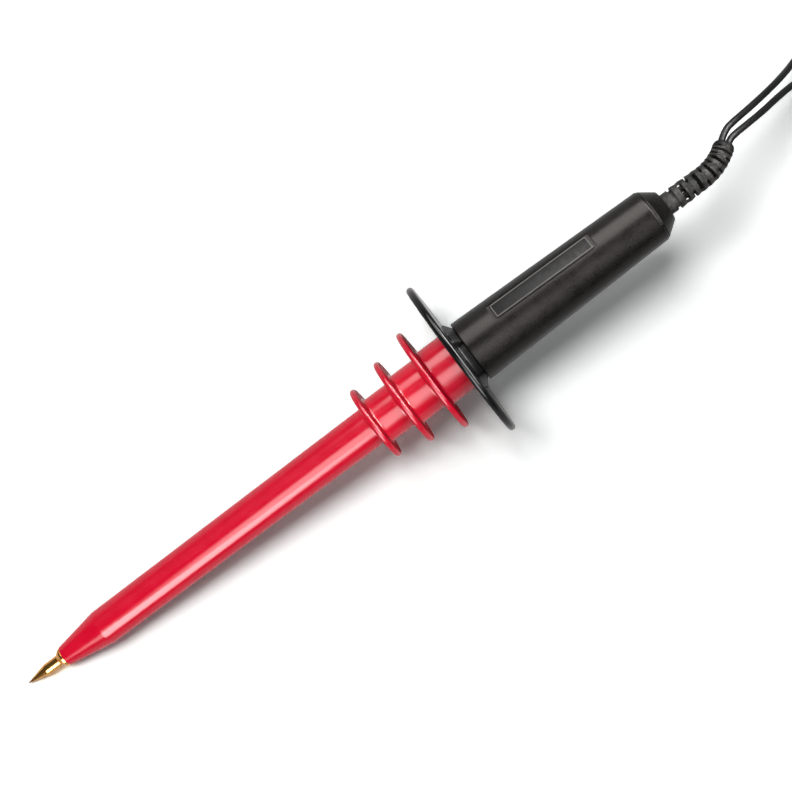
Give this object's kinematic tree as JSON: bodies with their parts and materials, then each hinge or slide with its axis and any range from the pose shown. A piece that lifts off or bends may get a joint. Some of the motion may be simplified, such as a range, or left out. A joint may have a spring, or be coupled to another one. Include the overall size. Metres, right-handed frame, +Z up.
{
  "type": "high-voltage oscilloscope probe",
  "caption": "Hand-held high-voltage divider probe: pointed metal tip, long ribbed barrel, finger guard disc, tapered handle, strain relief, and two leads with a bayonet plug and a clip",
  "frame": {"origin": "on the bench, under the middle of the probe, which lies on the nose of its barrel and on the rim of its finger guard", "axes": "+X towards the handle and the leads, +Z up"},
  "size_m": [0.4246, 0.098, 0.0593],
  "materials": {
    "gold_brass": "polished",
    "brass": "machined",
    "spring_steel": "drawn wire",
    "ceramic": "fine matt",
    "tinned_metal": "satin",
    "black_rubber": "satin",
    "red_plastic": "glossy",
    "black_gloss": "glossy",
    "black_satin": "fine satin",
    "label": "satin",
    "relief_rubber": "satin",
    "board_green": "solder mask",
    "resistor_body": "lacquered",
    "trimmer_blue": "moulded",
    "trimmer_white": "ceramic",
    "capacitor_orange": "dipped",
    "wire_red": "insulated",
    "screw_steel": "plated",
    "lead_black": "satin jacket",
    "nickel": "bright nickel",
    "white_insulator": "smooth",
    "gold_contact": "gold plated",
    "gasket_red": "silicone",
    "cover_black": "soft satin",
    "crimp_tin": "tinned"
  },
  "bodies": {
    "probe": {"tip_contact": "gold_brass", "tip_insert": "brass", "contact_spring": "spring_steel", "resistor_rod": "ceramic", "resistor_front_cap": "tinned_metal", "resistor_rear_cap": "tinned_metal", "centring_rings": "black_rubber", "barrel": "red_plastic", "barrel_seal": "black_rubber", "finger_guard": "black_gloss", "barrel_nut": "tinned_metal", "handle_shell": "black_satin", "label_plate": "label", "end_cap": "black_satin", "strain_relief": "relief_rubber", "screen_tube": "tinned_metal", "circuit_board": "board_green", "divider_resistor": "resistor_body", "trimmer_body": "trimmer_blue", "capacitors": "capacitor_orange", "input_wire": "wire_red", "cord_clamp": "tinned_metal", "clamp_screws": "screw_steel", "board_screws": "screw_steel", "signal_lead": "lead_black", "signal_coil": "lead_black", "signal_tail": "lead_black", "ground_lead": "lead_black", "ground_coil": "lead_black", "ground_tail": "lead_black", "plug_boot": "relief_rubber", "plug_ferrule": "nickel", "plug_body": "nickel", "plug_insulator": "white_insulator", "plug_pin": "gold_contact", "plug_sleeve": "nickel", "plug_gasket": "gasket_red", "plug_spring_washer": "spring_steel", "plug_snap_ring": "spring_steel", "clip_fixed_jaw": "nickel", "clip_pin": "nickel", "clip_spring": "spring_steel", "clip_fixed_cover": "cover_black", "clip_crimp": "crimp_tin"},
    "thrust_ring": {"plug_thrust_ring": "nickel"},
    "collar": {"plug_collar": "nickel"},
    "jaw": {"clip_moving_jaw": "nickel", "clip_moving_cover": "cover_black"},
    "trimmer": {"trimmer_rotor": "trimmer_white"}
  },
  "joints": [
    {"name": "plug_push", "type": "slide", "parent": "probe", "child": "thrust_ring", "axis": [0, 1, 0], "range_m": [0, 0.0008], "stiffness_N_per_m": 1500, "springref_m": -0.001},
    {"name": "collar_turn", "type": "hinge", "parent": "thrust_ring", "child": "collar", "pos_m": [0.282, -0.038, 0.0073], "axis": [0, -1, 0], "range_deg": [0, 90]},
    {"name": "clip_open", "type": "hinge", "parent": "probe", "child": "jaw", "pos_m": [0.252, -0.044, 0.0048], "axis": [0, 0, 1], "range_deg": [0, 24], "stiffness_Nm_per_rad": 0.06, "springref_deg": -34.38},
    {"name": "trimmer_turn", "type": "hinge", "parent": "probe", "child": "trimmer", "pos_m": [0.09143, 0.0026, 0.03461], "axis": [-0.1504, 0, 0.9886], "continuous": true}
  ]
}
